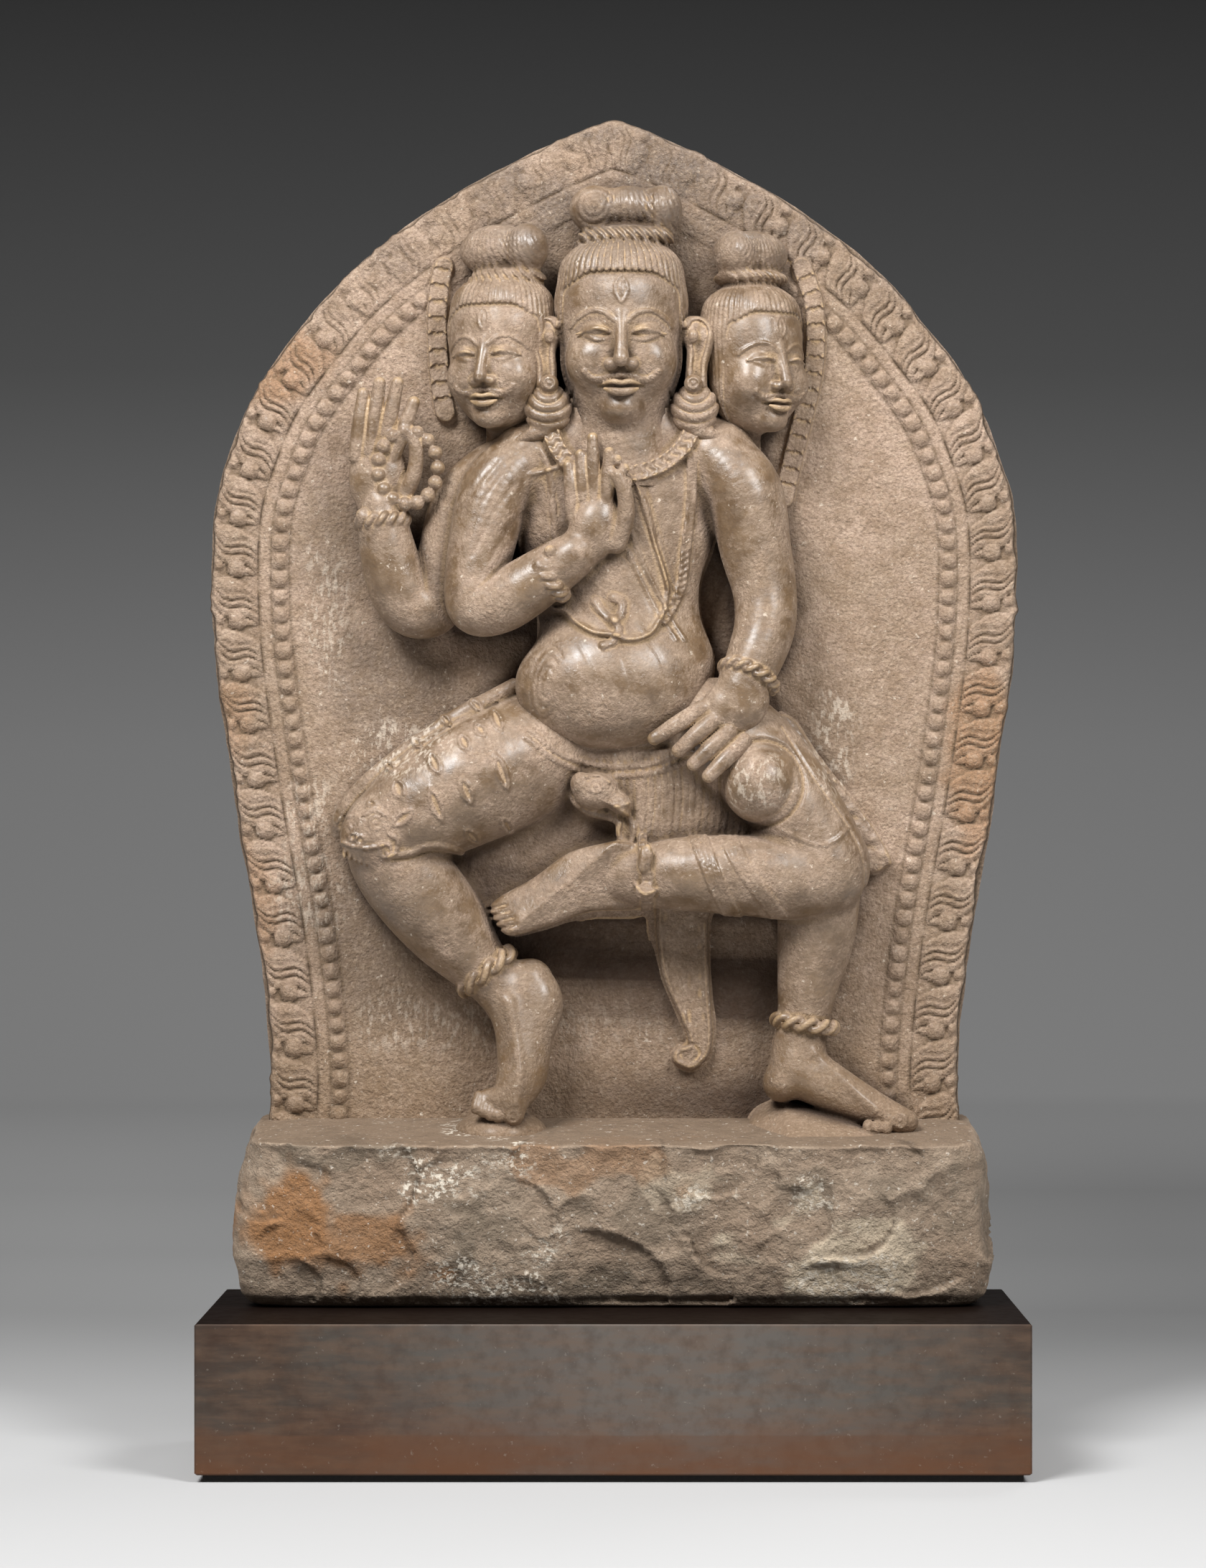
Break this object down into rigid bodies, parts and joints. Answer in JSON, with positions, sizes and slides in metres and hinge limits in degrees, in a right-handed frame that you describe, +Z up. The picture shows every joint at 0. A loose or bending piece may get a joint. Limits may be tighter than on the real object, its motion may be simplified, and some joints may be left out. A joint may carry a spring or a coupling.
{
  "type": "carved stone stele with a three-headed standing deity in high relief, on a display base",
  "caption": "Arched grey-brown stone stele carved in high relief with a stout striding deity with several heads, flame border and beads, on a low metal block.",
  "frame": {"origin": "middle of the base's underside, on the floor", "axes": "+Z up, front faces -Y, +X to the viewer's right"},
  "size_m": [0.546, 0.24, 0.901],
  "materials": {
    "carved_stone": "grey-brown fine-grained stone, worn and half polished on the figure, rough and granular on the ground and the broken block, with rust-orange and pale stains",
    "patinated_metal": "dark patinated metal sheet, satin, mottled grey-brown with a browner band low on the front",
    "dark_foot": "matt black recessed foot"
  },
  "bodies": {
    "root": {"stele": "carved_stone", "display_base": "patinated_metal", "base_foot": "dark_foot"}
  },
  "joints": []
}
